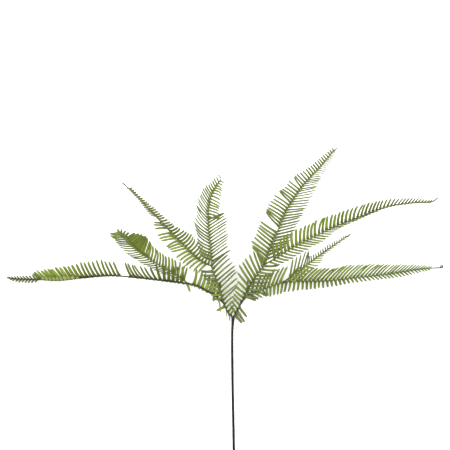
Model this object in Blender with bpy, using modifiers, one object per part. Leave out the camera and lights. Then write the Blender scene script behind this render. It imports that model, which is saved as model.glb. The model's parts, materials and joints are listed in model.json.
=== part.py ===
"""Umbrella fern frond: a brown stem that forks into eight comb-like leafy branches, laid flat."""

import math
import random

import bmesh
import bpy
import numpy as np
from mathutils import Vector

MM = 0.001  # every size below is in millimetres, and is turned to metres where a mesh is made

# Where the first fork stands in the frame, so that the frame's origin is under the middle of the frond
FORK_AT = (12.5, 4.35, 0.0)

# Gap left between a branch and the rib that it forks from
FORK_GAP = 0.35
BARE_FOOT = 1.5  # length of rib between that gap and the first leaflet

STEM_RADIUS = 1.6
STEM_SIDES_LEVEL = 3
STEM_REST_DEPTH = 0.22  # how deep the surface flattens the underside of the stem
BUD_RADIUS = 2.2

LEAF_THICKNESS = 0.75
RIB_THICKNESS = 1.7
RIB_HALF_WIDTH = 1.05
TIP_HALF_WIDTH = 0.5
TIP_THICKNESS = 0.9

MIDDLE = 0.5  # how far along a leaflet its middle section stands
MIDDLE_WIDTH = 0.8  # width there, as a share of the width at the root
MIDDLE_LIFT = 0.06  # how far it stands above a straight leaflet, as a share of the reach
SHORT_LEAFLET = 8.0  # below this length a leaflet is one plain triangle
BOWED_LEAFLET = 20.0  # a shorter leaflet is bowed in proportion less
ANGLE_SPREAD = 1.5  # each leaflet's angle is up to this many degrees off
REACH_SPREAD = (0.94, 1.04)  # and its reach is multiplied by a number between these

CLEARANCE = 3.8  # least distance between the middle lines of leaflets of two branches
HEIGHT_WEIGHT = 1.9  # a height difference counts this many times, because the blades are thin
SAMPLE = 2.0  # distance between the points that are measured along a leaflet
LEAST_HEIGHT = 1.0  # of a leaflet's middle line above the surface
FORK_SHADOW = 7.0  # leaflets opposite a fork leave out this much of the branch that forks off

# What a leaflet tries until it is clear: (millimetres that its tip is raised, share of its reach)
TRIES = [
    (0, 1), (3, 1), (-3, 1), (6, 1), (-6, 1), (9, 1), (-9, 0.95), (12, 0.95), (14, 0.8),
    (4, 0.7), (-4, 0.7), (10, 0.6), (4, 0.5), (-3, 0.5), (3, 0.35), (0, 0.25),
]

ROUTE_STEPS = 14  # short straight stretches between two points of a route

LEFT, RIGHT = 1, -1

# The route is the middle of the stem from its cut end to the first fork, with its radius at each point.
STEM_ROUTE = [
    (3, -246, 1.50), (2.6, -230, 1.55), (2, -210, 1.55), (1.2, -185, 1.55), (0.6, -155, 1.5),
    (0, -125, 1.5), (-0.6, -92, 1.5), (-1, -60, 1.55), (-1.2, -35, 1.6), (-1, -18, 1.7),
    (-0.5, -8, 1.9), (-0.1, -3, 2.15), (0, 0, 2.2), (0.2, 1.6, 1.6), (0.3, 2.4, 0.7),
]

# One entry for each leafy branch. All lengths are millimetres, seen from above, from the first fork.
#   route   points that the rib passes through, with their height above the surface
#   parent  the branch that it forks from, or None for the stem, and the side that it leaves on
#   pitch   (place along the rib from 0 to 1, distance between leaflets on one side)
#   left, right   (place along the rib, angle to the rib in degrees, reach seen from above, rise of
#           the tip, bow: how far the middle stands back from the straight line, towards the fork)
#   bare    stretches of the rib with no leaflet, and bare_left those with none on the left
BRANCHES = {
    "pinna_left_upright": {
        "route": [
            (0, 0, 2.4), (-7, 8, 5), (-13, 21, 11), (-18, 39, 20), (-24, 56, 29), (-30, 73, 38),
            (-30, 84, 44), (-32, 104, 55), (-34, 124, 66), (-35, 144, 76), (-33, 162, 84),
            (-28, 176, 89), (-20, 189, 93), (-16.5, 194, 94), (-19, 198, 93),
        ],
        "parent": (None, LEFT),
        "pitch": [(0, 6), (0.4, 5.6), (0.45, 4.4), (0.7, 4.4), (1, 3.6)],
        "left": [
            (0, 150, 8, 0, 0), (0.05, 158, 13, -1, 0), (0.085, 165, 16, -2, 0), (0.1, 80, 13, -2, 1),
            (0.4, 66, 17, -3, 1), (0.46, 56, 20, -6, 1.5),
            (0.55, 45, 26, -4, 1.5), (0.61, 44, 28, -2, 1.5), (0.64, 37, 27, 0, 1), (0.7, 38, 26, 3, 0.5),
            (0.76, 41, 23, 4, 0),
            (0.82, 49, 19, 4, 0), (0.88, 58, 12, 4, 1), (0.94, 60, 9, 3, 0.5), (1, 40, 5, 2, 0),
        ],
        "right": [
            (0, 75, 10, 8, 0), (0.12, 66, 18, 8, -0.5), (0.15, 62, 30, 8, 0), (0.22, 64, 34, 8, 0),
            (0.28, 69, 34, 8, 0), (0.34, 67, 31, 8, -0.5), (0.4, 52, 32, 8, 0), (0.46, 57, 29, 8, 0),
            (0.52, 62, 30, 8, 0),
            (0.6, 60, 31, 9, 0), (0.685, 60, 27, 8, 0.5), (0.705, 97, 18, 18, 1), (0.76, 90, 16, 17, 1.5),
            (0.82, 92, 17, 16, 2), (0.88, 76, 13, 13, -1), (0.94, 80, 7, 9, -0.5), (1, 40, 4, 3, 0),
        ],
        "bare": [(0.965, 1)],
    },
    "pinna_left_low": {
        "route": [
            (-13, 21, 11), (-20, 27.5, 13), (-28, 33.5, 15), (-49, 44.5, 19), (-63, 48.5, 21),
            (-91, 52, 23), (-130, 56.5, 22), (-168, 59.5, 18), (-200, 57.5, 14), (-242, 53, 9),
            (-267, 54, 7), (-298, 54.6, 4.5), (-317, 56.6, 3),
        ],
        "parent": ("pinna_left_upright", LEFT),
        "pitch": [(0, 6), (0.5, 5.7), (0.8, 5.2), (1, 3.8)],
        "left": [
            (0, 150, 27, -2, 1), (0.04, 140, 20, 3, 1.5), (0.065, 95, 1.5, 13, 0), (0.175, 92, 1, 14, 0),
            (0.19, 129, 14, 5, 0), (0.205, 92, 1, 15, 0), (0.28, 90, 0.5, 19, 0), (0.66, 95, 0.5, 18, 0),
            (0.7, 116, -7, 18, 0), (0.83, 118, -5.5, 13, 0), (0.86, 50, 4, 6, 0), (0.88, 56, 6, 4, 0),
            (0.94, 54, 5.5, 3, 0), (1, 30, 3, 1, 0),
        ],
        "right": [
            (0, 60, 20, 8, 1), (0.12, 80, 22, 10, 1), (0.2, 90, 23, 14, 1), (0.28, 84, 22, 16, 0),
            (0.34, 52, 20, 17, -1), (0.4, 56, 23, 17, -2), (0.46, 66, 22, 17, -1), (0.52, 64, 22, 17, 0),
            (0.55, 73, 24.5, 17, -1), (0.64, 72, 23, 15, -1), (0.7, 66, 22, 13, -0.5), (0.76, 56, 21, 11, 0),
            (0.82, 42, 19, 9, 0), (0.85, 42, 14, 7, 0), (0.87, 50, 8, 5, 0), (0.94, 44, 6, 3, 0),
            (1, 16, 4, 1, 0),
        ],
        "bare": [(0.452, 0.492), (0.985, 1)],
    },
    "pinna_left_curled": {
        "route": [
            (-63, 48.5, 21), (-73.5, 57, 28), (-85, 64.5, 36), (-104, 75, 47), (-122, 87, 58),
            (-135, 97, 65), (-146, 110, 70), (-153, 118.5, 71), (-159.5, 121, 68), (-163.5, 115, 61),
        ],
        "parent": ("pinna_left_low", RIGHT),
        "pitch": [(0, 5.2), (0.5, 4.6), (0.62, 3.9), (1, 3.7)],
        "left": [
            (0, 32, 8, 4, 0), (0.2, 34, 13, 5, 0.5), (0.46, 38, 17, 5, 1), (0.58, 36, 19, 5, 1.5),
            (0.7, 43, 21, 2, 1), (0.82, 46, 23, 3, 0.5), (0.86, 46, 21, 4.5, 0), (0.88, 43, 19, 5.5, 0),
            (0.9, 37, 16, 6.5, 0), (0.92, 27, 12, 7, 0), (0.935, 20, 9, 6, 0), (0.95, 30, 5, 0, 0),
            (1, 40, 5, -3, 0),
        ],
        "right": [
            (0, 64, 19, 10, 0.5), (0.1, 74, 19, 11, -1), (0.16, 60, 20, 11, 1), (0.28, 66, 18, 11, 0.5),
            (0.4, 62, 20, 11, 1.5), (0.46, 64, 20, 11, 1.5), (0.52, 68, 22, 11, 0.5),
            (0.58, 77, 23, 11, 0), (0.64, 83, 23, 12, -0.5), (0.7, 92, 23, 13, -1),
            (0.76, 96, 21, 13, -1), (0.81, 100, 17, 12, -0.5),
            (0.85, 84, 7, 8, 0), (0.92, 66, 4, 4, 0), (1, 40, 3, 1, 0),
        ],
        "bare": [(0.975, 1)],
    },
    "pinna_left_slanting": {
        "route": [
            (-30, 73, 38), (-44, 80.5, 45), (-62, 96, 52), (-78, 111, 54), (-96, 130, 50),
            (-115, 150, 39), (-140, 176, 17), (-155, 189.5, 0.4),
        ],
        "parent": ("pinna_left_upright", LEFT),
        "pitch": [(0, 5.2), (0.5, 4.8), (0.6, 4), (1, 3.6)],
        "left": [
            (0, 72, 16, 4, -1), (0.16, 77, 20, 4, -1), (0.25, 70, 20, 5, -0.5), (0.3, 62, 20, 5, 0),
            (0.34, 71, 19, 6, -1), (0.4, 57, 21, 6, -0.5), (0.46, 58, 17, 8, -1), (0.52, 38, 14, 9, 0),
            (0.56, 38, 8, 9, 0), (0.62, 28, 7, 8, 0), (0.7, 34, 6, 7, 0), (0.78, 22, 4, 5, 0),
            (1, 20, 3, 1, 0),
        ],
        "right": [
            (0, 80, 14, 12, 0.5), (0.16, 88, 16, 12, 1), (0.28, 88, 19, 12, 2), (0.34, 97, 18, 13, 1.5),
            (0.4, 103, 15, 13, 1), (0.46, 114, 11, 14, 0.5), (0.52, 121, 11, 14, 0.5),
            (0.64, 123, 8.5, 11, 0), (0.7, 126, 7.5, 10, 0), (0.78, 130, 6, 7, 0), (0.85, 130, 4, 4, 0),
            (1, 60, 2, 1, 0),
        ],
        "bare": [(0.93, 1)],
        "bare_left": [(0.435, 0.48), (0.54, 0.61)],
    },
    "pinna_right_upright": {
        "route": [
            (0, 0, 2.4), (5, 9.5, 6), (12, 22, 12), (20, 39, 21), (33.5, 61, 33), (45, 76, 42),
            (50, 94, 51), (58, 113, 60), (71, 145, 74), (81, 162, 82), (99, 188, 92), (119, 209, 98),
            (137, 231, 102), (143.5, 236, 102),
        ],
        "parent": (None, RIGHT),
        "pitch": [(0, 6), (0.35, 5.4), (0.5, 4.7), (1, 3.6)],
        "left": [
            (0, 60, 10, 4, 0), (0.12, 75, 17, 6, 0), (0.165, 75, 20, 7, 0), (0.185, 66, 33, 8, 0),
            (0.3, 60, 29, 8, 0),
            (0.35, 66, 28.5, 9, -0.5), (0.4, 74, 29, 9, 0), (0.46, 78, 29, 9, 0), (0.52, 75, 28.5, 9, 0),
            (0.58, 86, 26.5, 9, -1), (0.64, 91, 25.5, 9, -1), (0.7, 90, 21, 8, -0.5), (0.76, 86, 18, 7, 0),
            (0.82, 86, 12.5, 6, -0.5), (0.88, 80, 10, 5, -0.5), (0.94, 80, 6.5, 3, 0), (1, 50, 4, 1, 0),
        ],
        "right": [
            (0, 112, 12, 1, 0), (0.05, 121, 20, -3, 0), (0.09, 100, 15, -3, 0), (0.14, 62, 21, -3, 1),
            (0.3, 52, 22, -5, 1), (0.4, 53, 26, -5, 0), (0.52, 56, 29, -5, 0), (0.58, 57, 28, -3, 0),
            (0.64, 51, 28, -2, 0), (0.7, 45, 26, 0, 0), (0.76, 42, 22, 2, 0), (0.82, 35, 18, 2, 0),
            (0.88, 30, 13, 2, 0), (0.94, 27, 9, 2, 0), (1, 20, 4, 1, 0),
        ],
        "bare": [(0.98, 1)],
        "bare_left": [(0.483, 0.507)],
    },
    "pinna_right_arched": {
        "route": [
            (45, 76, 42), (58, 83.5, 48), (81, 98, 57), (112, 114, 62), (140, 127.5, 60),
            (165, 137.5, 53), (194, 148.5, 41), (217, 156.5, 29), (253, 161.5, 11), (277, 162.5, 2),
            (286.5, 168, 0.5),
        ],
        "parent": ("pinna_right_upright", RIGHT),
        "pitch": [(0, 5.8), (0.6, 5.8), (0.8, 5.0), (1, 3.8)],
        "left": [
            (0, 72, 16, 12, 1), (0.1, 60, 20, 12, 1), (0.16, 66, 22, 13, 1.5), (0.22, 58, 23, 13, 1),
            (0.28, 54, 23, 13, 2), (0.34, 60, 21.5, 14, 1.5), (0.4, 54, 19, 15, 1),
            (0.46, 58, 18.5, 15, 1.5), (0.52, 50, 20, 14, 1.5), (0.58, 47, 18.5, 13, 1),
            (0.64, 45, 15, 12, 1), (0.7, 46, 12.5, 10, 1), (0.76, 43, 11, 8, 0.5), (0.82, 42, 9.5, 5, 0.5),
            (0.88, 42, 7.5, 4, 0), (0.92, 40, 5.5, 2, 0), (1, 35, 3, 1, 0),
        ],
        "right": [
            (0, 44, 14, 5, 0.5), (0.1, 44, 18, 6, 1), (0.16, 40, 19, 6, 0.5), (0.22, 35, 19, 7, 0),
            (0.28, 33, 19, 7, 0.5), (0.34, 29, 15, 8, 0), (0.4, 23, 12, 9, 0), (0.46, 19, 10, 10, 0),
            (0.56, 16, 7, 10, 0), (0.66, 14, 4, 9, 0), (0.8, 15, 3, 6, 0), (1, 15, 2.5, 1, 0),
        ],
        "bare": [(0.955, 1)],
    },
    "pinna_right_low": {
        "route": [
            (12, 22, 12), (24, 34, 16), (47, 42.5, 19), (71, 50.5, 21), (91, 52, 21), (130, 52.5, 20),
            (169, 56.5, 17), (214, 61.5, 13), (258, 68, 8), (279, 70, 5), (292, 70.5, 3),
        ],
        "parent": ("pinna_right_upright", RIGHT),
        "pitch": [(0, 6), (0.5, 5.6), (0.8, 5.2), (1, 4)],
        "left": [
            (0, 55, 20, 6, 1), (0.15, 46, 27, 10, 1), (0.3, 43, 26, 11, 1), (0.4, 41, 26, 12, 1.5),
            (0.46, 38, 29, 13, 1.5), (0.52, 37, 29, 13, 1.5), (0.58, 36, 28, 13, 1.5),
            (0.64, 36, 25, 13, 1.5), (0.7, 34, 22.5, 12, 1), (0.76, 32, 19, 11, 0.5), (0.82, 31, 15, 8, 0),
            (0.88, 29, 10.5, 6, 0), (0.94, 26, 6, 3, 0), (1, 15, 3, 2, 0),
        ],
        "right": [
            (0, 75, 8, 2, 0), (0.04, 68, 14, 4, 0), (0.1, 48, 15, 5, 0), (0.13, 80, 9, 7, 0),
            (0.15, 112, 13, 7, 0), (0.22, 117, 16, 8, -0.5), (0.28, 105, 14, 11, -1), (0.34, 92, 12, 13, 0),
            (0.4, 95, 10, 14, 0.5), (0.46, 86, 8, 15, 0.5), (0.52, 78, 7, 15, 0), (0.58, 62, 7, 13, 0),
            (0.64, 46, 7.5, 12, 0), (0.7, 44, 8.5, 10, 0), (0.76, 48, 8.5, 9, 0), (0.82, 48, 8, 8, 0),
            (0.88, 44, 6, 5, 0), (1, 30, 3, 2, 0),
        ],
        "bare": [(0.945, 1)],
    },
    "pinna_right_short": {
        "route": [
            (71, 50.5, 21), (78.5, 57, 27), (86, 63, 34), (92, 67.5, 40), (105, 77, 50), (121, 89, 61),
            (139, 102, 73), (156, 114, 84), (161, 116.5, 86),
        ],
        "parent": ("pinna_right_low", LEFT),
        "pitch": [(0, 6.4), (0.3, 5.6), (0.36, 4.2), (1, 3.4)],
        "left": [
            (0, 40, 20, 6, 0.5), (0.1, 39, 25, 7, 0), (0.2, 37, 26, 8, 0), (0.29, 35, 26, 9, 0),
            (0.345, 38, 22, 10, 0), (0.38, 50, 10, 13, 0), (0.44, 58, 7, 14, 0), (0.52, 64, 5.5, 14, 0),
            (0.64, 64, 5.5, 12, 0), (0.76, 60, 5, 10, 0), (0.84, 50, 4.5, 8, 0), (1, 40, 3, 2, 0),
        ],
        "right": [
            (0, 65, 10, 0, 0.5), (0.15, 67, 13, -2, 0.5), (0.28, 60, 13, 0, 0.5), (0.34, 50, 14, 2, 0.5),
            (0.4, 40, 15, 3, 0.5), (0.46, 35, 14, 4, 0), (0.51, 32, 8, 7, 0), (0.58, 34, 5, 8, 0),
            (0.8, 34, 4.5, 5, 0), (1, 30, 3, 2, 0),
        ],
        "bare": [(0.97, 1)],
    },
}

GREEN = (0.115, 0.175, 0.045, 1)
BROWN = (0.060, 0.050, 0.040, 1)


def clear_scene():
    for obj in list(bpy.data.objects):
        bpy.data.objects.remove(obj, do_unlink=True)


def new_material(name, colour, roughness):
    material = bpy.data.materials.new(name)
    material.use_nodes = True
    shader = material.node_tree.nodes["Principled BSDF"]
    shader.inputs["Base Color"].default_value = colour
    shader.inputs["Roughness"].default_value = roughness
    shader.inputs["Metallic"].default_value = 0
    return material


def smooth_route(points, steps=ROUTE_STEPS):
    """Points of a smooth curve that passes through the given ones."""
    knots = np.array(points, float)
    knots = np.vstack([2 * knots[0] - knots[1], knots, 2 * knots[-1] - knots[-2]])
    made = []
    for a, b, c, d in zip(knots, knots[1:], knots[2:], knots[3:]):
        for t in np.arange(steps) / steps:
            made.append(
                b + 0.5 * t * (c - a)
                + t * t * (a - 2.5 * b + 2 * c - 0.5 * d)
                + 0.5 * t ** 3 * (3 * (b - c) + d - a)
            )
    return np.array(made + [knots[-2]])


class Rib:
    """The middle line of a branch, read by its distance from the fork as seen from above."""

    def __init__(self, route):
        self.points = smooth_route(route)
        steps = np.linalg.norm(np.diff(self.points[:, :2], axis=0), axis=1)
        self.along = np.concatenate([[0], np.cumsum(steps)])
        self.length = self.along[-1]

    def point(self, s):
        return np.array([np.interp(s, self.along, self.points[:, k]) for k in range(3)])

    def tangent(self, s):
        ahead = self.point(min(s + 1, self.length)) - self.point(max(s - 1, 0))
        return ahead / np.linalg.norm(ahead)

    def leftward(self, s):
        x, y, _ = self.tangent(s)
        return np.array([-y, x, 0]) / math.hypot(x, y)

    def half_width(self, s):
        return RIB_HALF_WIDTH + (TIP_HALF_WIDTH - RIB_HALF_WIDTH) * s / self.length

    def thickness(self, s):
        return RIB_THICKNESS + (TIP_THICKNESS - RIB_THICKNESS) * s / self.length

    def nearest(self, point):
        gaps = np.linalg.norm(self.points[:, :2] - np.array(point)[:2], axis=1)
        return self.along[gaps.argmin()]


def keyed(keys, t):
    """The values of a list of (place, value, ...) keys at place t."""
    keys = np.array(keys, float)
    return [np.interp(t, keys[:, 0], column) for column in keys[:, 1:].T]


def turned(direction, degrees):
    angle = math.radians(degrees)
    x, y = direction[:2] / np.linalg.norm(direction[:2])
    return np.array([
        x * math.cos(angle) - y * math.sin(angle),
        x * math.sin(angle) + y * math.cos(angle),
        0,
    ])


def stations_of(branch, rib, first):
    """Places along the rib, half a pitch apart: a leaflet's root fills every other gap on each side."""
    places = [first]
    while True:
        pitch = keyed(branch["pitch"], places[-1] / rib.length)[0]
        if places[-1] + pitch / 2 > rib.length - 1:
            return places
        places.append(places[-1] + pitch / 2)


def leaflet_line(root, middle, tip):
    """Points along a leaflet's middle line, for measuring its distance to others."""
    first = max(2, math.ceil(np.linalg.norm(middle - root) / SAMPLE))
    second = max(2, math.ceil(np.linalg.norm(tip - middle) / SAMPLE))
    return np.vstack([np.linspace(root, middle, first + 1)[:-1], np.linspace(middle, tip, second + 1)])


def is_clear(line, others):
    weights = np.array([1, 1, HEIGHT_WEIGHT])
    gaps = (line[:, None] - others[None]) * weights
    return (np.sum(gaps * gaps, axis=2) > CLEARANCE ** 2).all()


def obstacles(name, side, ribs, taken):
    """Points that the leaflets on one side of a branch keep clear of."""
    points = list(taken)
    for key, rib in ribs.items():
        if key != name:
            parent, fork_side = BRANCHES[key]["parent"]
            skipped = FORK_SHADOW if parent == name and fork_side != side else 0
            points.append(rib.points[rib.along >= skipped])
    return np.vstack(points)


def leaflet_shape(branch, rib, start, end, side, jitter, lift, share):
    """Root, middle and tip of one leaflet's middle line."""
    at = (start + end) / 2
    angle, reach, rise, bow = keyed(branch["left" if side == LEFT else "right"], at / rib.length)
    root = rib.point(at) + side * rib.leftward(at) * rib.half_width(at)
    outward = turned(rib.tangent(at), side * (angle + jitter[0]))
    reach *= share * jitter[1]
    tip = root + outward * reach + np.array([0, 0, rise * share + lift])
    bow *= min(1, abs(reach) / BOWED_LEAFLET)
    middle = root + MIDDLE * (tip - root) + side * bow * turned(outward, 90)
    middle[2] += MIDDLE_LIFT * abs(reach)
    return root, middle, tip


def plan_leaflets(branch, rib, first, others, rng):
    """Every leaflet of a branch, bent up or down or shortened until it is clear of the other branches."""
    places = stations_of(branch, rib, first)
    planned = {}
    for index, (start, end) in enumerate(zip(places, places[1:])):
        side = LEFT if index % 2 else RIGHT
        jitter = (rng.uniform(-ANGLE_SPREAD, ANGLE_SPREAD), rng.uniform(*REACH_SPREAD))
        t = (start + end) / 2 / rib.length
        bare = branch["bare"] + (branch.get("bare_left", []) if side == LEFT else [])
        if any(low <= t <= high for low, high in bare):
            continue
        for lift, share in TRIES:
            shape = leaflet_shape(branch, rib, start, end, side, jitter, lift, share)
            low = min(point[2] for point in shape[1:]) <= LEAST_HEIGHT
            if not low and is_clear(leaflet_line(*shape), others[side]):
                planned[index] = (side, *shape)
                break
    return places, planned


def extrude_edge(bm, ends, places):
    """Extrudes the open edge between two vertices and moves its new ends to the given places."""
    made = bmesh.ops.extrude_edge_only(bm, edges=[bm.edges.get(ends)])["geom"]
    fresh = {item for item in made if isinstance(item, bmesh.types.BMVert)}
    new = [next(e.other_vert(v) for e in v.link_edges if e.other_vert(v) in fresh) for v in ends]
    for vertex, place in zip(new, places):
        vertex.co = Vector(place)
    return new


def add_leaflet(bm, root_ends, shape, weights, thick):
    """Extrudes a leaflet out of one stretch of the rib's edge and brings it to a point."""
    side, root, middle, tip = shape
    first, second = (np.array(v.co) for v in root_ends)
    half = (second - first) / 2
    ends = root_ends
    if np.linalg.norm(tip - root) > SHORT_LEAFLET:
        ends = extrude_edge(bm, ends, [middle - half * MIDDLE_WIDTH, middle + half * MIDDLE_WIDTH])
        weights.update({v: thick for v in ends})
    last = extrude_edge(bm, ends, [tip, tip])
    bmesh.ops.pointmerge(bm, verts=last, merge_co=Vector(tip))
    kept = next(v for v in last if v.is_valid)
    weights[kept] = thick


def fork_start(rib, parent, parent_rib, side):
    """How far along its own direction each corner of a branch starts, just clear of what it forks from."""
    ahead = rib.tangent(0)
    across = rib.leftward(0) * rib.half_width(0)
    corners = [across, -across]
    if parent is None:
        away, clear = ahead, BUD_RADIUS + FORK_GAP
    else:
        at = parent_rib.nearest(rib.point(0))
        away = side * parent_rib.leftward(at)
        clear = parent_rib.half_width(at) + FORK_GAP
    return [(clear - c @ away) / (ahead @ away) for c in corners]


def build_branch(name, rib, starts, places, planned, material, collection, empty):
    bm = bmesh.new()
    base = rib.point(0)
    ahead = rib.tangent(0)
    across = rib.leftward(0) * rib.half_width(0)
    left = bm.verts.new(base + across + ahead * starts[0])
    right = bm.verts.new(base - across + ahead * starts[1])
    bm.edges.new((left, right))
    weights = {left: rib.thickness(0), right: rib.thickness(0)}
    roots = {}
    for index, s in enumerate([*places, rib.length]):
        across = rib.leftward(s) * rib.half_width(s)
        new = extrude_edge(bm, (left, right), [rib.point(s) + across, rib.point(s) - across])
        weights.update({v: rib.thickness(s) for v in new})
        if index and index - 1 in planned:
            roots[index - 1] = (left, new[0]) if planned[index - 1][0] == LEFT else (right, new[1])
        left, right = new
    for index, ends in roots.items():
        add_leaflet(bm, ends, planned[index], weights, LEAF_THICKNESS)
    bmesh.ops.recalc_face_normals(bm, faces=bm.faces)
    bmesh.ops.triangulate(bm, faces=bm.faces)
    order = list(bm.verts)
    bm.verts.index_update()
    shares = [weights[v] / RIB_THICKNESS for v in order]
    for vertex in bm.verts:
        vertex.co = (vertex.co - Vector(base)) * MM
    mesh = bpy.data.meshes.new(name)
    bm.to_mesh(mesh)
    bm.free()
    obj = bpy.data.objects.new(name, mesh)
    collection.objects.link(obj)
    obj.parent = empty
    obj.location = Vector(base) * MM
    mesh.materials.append(material)
    group = obj.vertex_groups.new(name="thickness")
    for index, share in enumerate(shares):
        group.add([index], share, "REPLACE")
    solid = obj.modifiers.new("blade", "SOLIDIFY")
    solid.thickness = RIB_THICKNESS * MM
    solid.offset = 0
    solid.vertex_group = "thickness"
    solid.thickness_vertex_group = 0
    return obj


def build_stem(material, collection, empty):
    """A round tube along the stem's route, ending in the bud, with its underside pressed flat."""
    curve = bpy.data.curves.new("stipe_route", "CURVE")
    curve.dimensions = "3D"
    curve.bevel_depth = MM
    curve.bevel_resolution = STEM_SIDES_LEVEL
    curve.use_fill_caps = True
    spline = curve.splines.new("POLY")
    spline.points.add(len(STEM_ROUTE) - 1)
    for point, (x, y, radius) in zip(spline.points, STEM_ROUTE):
        point.co = (x * MM, y * MM, (max(radius, STEM_RADIUS) - STEM_REST_DEPTH) * MM, 1)
        point.radius = radius
    tube = bpy.data.objects.new("stipe_route", curve)
    collection.objects.link(tube)
    graph = bpy.context.evaluated_depsgraph_get()
    mesh = bpy.data.meshes.new_from_object(tube.evaluated_get(graph))
    bpy.data.objects.remove(tube, do_unlink=True)
    bm = bmesh.new()
    bm.from_mesh(mesh)
    bmesh.ops.remove_doubles(bm, verts=bm.verts, dist=1e-6)
    cut = bmesh.ops.bisect_plane(
        bm, geom=[*bm.verts, *bm.edges, *bm.faces], plane_co=(0, 0, 0), plane_no=(0, 0, -1), clear_outer=True
    )
    open_edges = [e for e in cut["geom_cut"] if isinstance(e, bmesh.types.BMEdge) and e.is_boundary]
    bmesh.ops.holes_fill(bm, edges=open_edges)
    bmesh.ops.recalc_face_normals(bm, faces=bm.faces)
    bm.to_mesh(mesh)
    bm.free()
    mesh.name = "stipe"
    mesh.shade_smooth()
    mesh.set_sharp_from_angle(angle=math.radians(50))
    mesh.materials.clear()
    mesh.materials.append(material)
    obj = bpy.data.objects.new("stipe", mesh)
    collection.objects.link(obj)
    obj.parent = empty


def main():
    clear_scene()
    collection = bpy.data.collections.new("umbrella_fern_frond")
    bpy.context.scene.collection.children.link(collection)
    empty = bpy.data.objects.new("first_fork", None)
    empty.location = Vector(FORK_AT) * MM
    collection.objects.link(empty)

    build_stem(new_material("stem_brown", BROWN, 0.6), collection, empty)

    green = new_material("leaf_green", GREEN, 0.55)
    ribs = {name: Rib(branch["route"]) for name, branch in BRANCHES.items()}
    rng = random.Random(7)
    taken = []
    for name, branch in BRANCHES.items():
        rib = ribs[name]
        others = {side: obstacles(name, side, ribs, taken) for side in (LEFT, RIGHT)}
        parent, side = branch["parent"]
        starts = fork_start(rib, parent, ribs.get(parent), side)
        places, planned = plan_leaflets(branch, rib, max(starts) + BARE_FOOT, others, rng)
        taken += [leaflet_line(*shape[1:]) for shape in planned.values()]
        build_branch(name, rib, starts, places, planned, green, collection, empty)


main()
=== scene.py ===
import json
import math
import random

import bmesh
import bpy
import numpy as np
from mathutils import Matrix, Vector

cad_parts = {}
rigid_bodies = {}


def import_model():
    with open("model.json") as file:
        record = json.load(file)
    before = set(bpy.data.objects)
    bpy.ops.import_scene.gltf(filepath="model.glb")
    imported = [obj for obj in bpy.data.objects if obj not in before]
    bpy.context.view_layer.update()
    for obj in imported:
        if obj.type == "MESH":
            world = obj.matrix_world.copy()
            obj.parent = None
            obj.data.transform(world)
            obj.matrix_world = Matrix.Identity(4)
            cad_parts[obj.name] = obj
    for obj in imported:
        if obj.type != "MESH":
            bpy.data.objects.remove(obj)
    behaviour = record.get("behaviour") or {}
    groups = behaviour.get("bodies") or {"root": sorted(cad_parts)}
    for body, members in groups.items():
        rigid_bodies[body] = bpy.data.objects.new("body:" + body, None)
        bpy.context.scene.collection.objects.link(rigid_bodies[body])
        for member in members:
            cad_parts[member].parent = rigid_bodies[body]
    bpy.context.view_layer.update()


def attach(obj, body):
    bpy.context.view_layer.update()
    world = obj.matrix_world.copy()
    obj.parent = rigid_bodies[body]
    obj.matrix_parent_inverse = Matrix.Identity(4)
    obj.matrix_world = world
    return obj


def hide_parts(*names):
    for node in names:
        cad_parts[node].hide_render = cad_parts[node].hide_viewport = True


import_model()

# An umbrella fern frond, cut and laid on a pale surface, seen from straight above.
# Routes and leaflets are in millimetres from the first fork, the same as the solids have.
mm = 0.001
forkAt = np.array([12.5, 4.35, 0.0])
left, right = 1, -1

leafletRule = {
    "forkGap": 0.35,
    "bareFoot": 1.5,
    "budRadius": 2.2,
    "clearance": 3.8,
    "heightWeight": 1.9,  # a height difference counts this many times
    "sample": 2.0,
    "forkShadow": 7.0,  # leaflets opposite a fork leave out this much of the branch that forks off
    "ribHalfWidth": 1.05,
    "tipHalfWidth": 0.5,
    "seed": 7,
    "turnJitter": 1.5,  # degrees
    "reachJitter": (0.94, 1.04),
    "fullBow": 20,  # leaflets shorter than this bow less
    "arch": 0.06,  # the middle stands this share of the reach above a straight line
    "lowest": 1,
    # lift of the tip and share of the reach, tried in turn until the leaflet is clear of all others
    "tries": [(0, 1), (3, 1), (-3, 1), (6, 1), (-6, 1), (9, 1), (-9, 0.95), (12, 0.95), (14, 0.8),
              (4, 0.7), (-4, 0.7), (10, 0.6), (4, 0.5), (-3, 0.5), (3, 0.35), (0, 0.25)],
}

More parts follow.
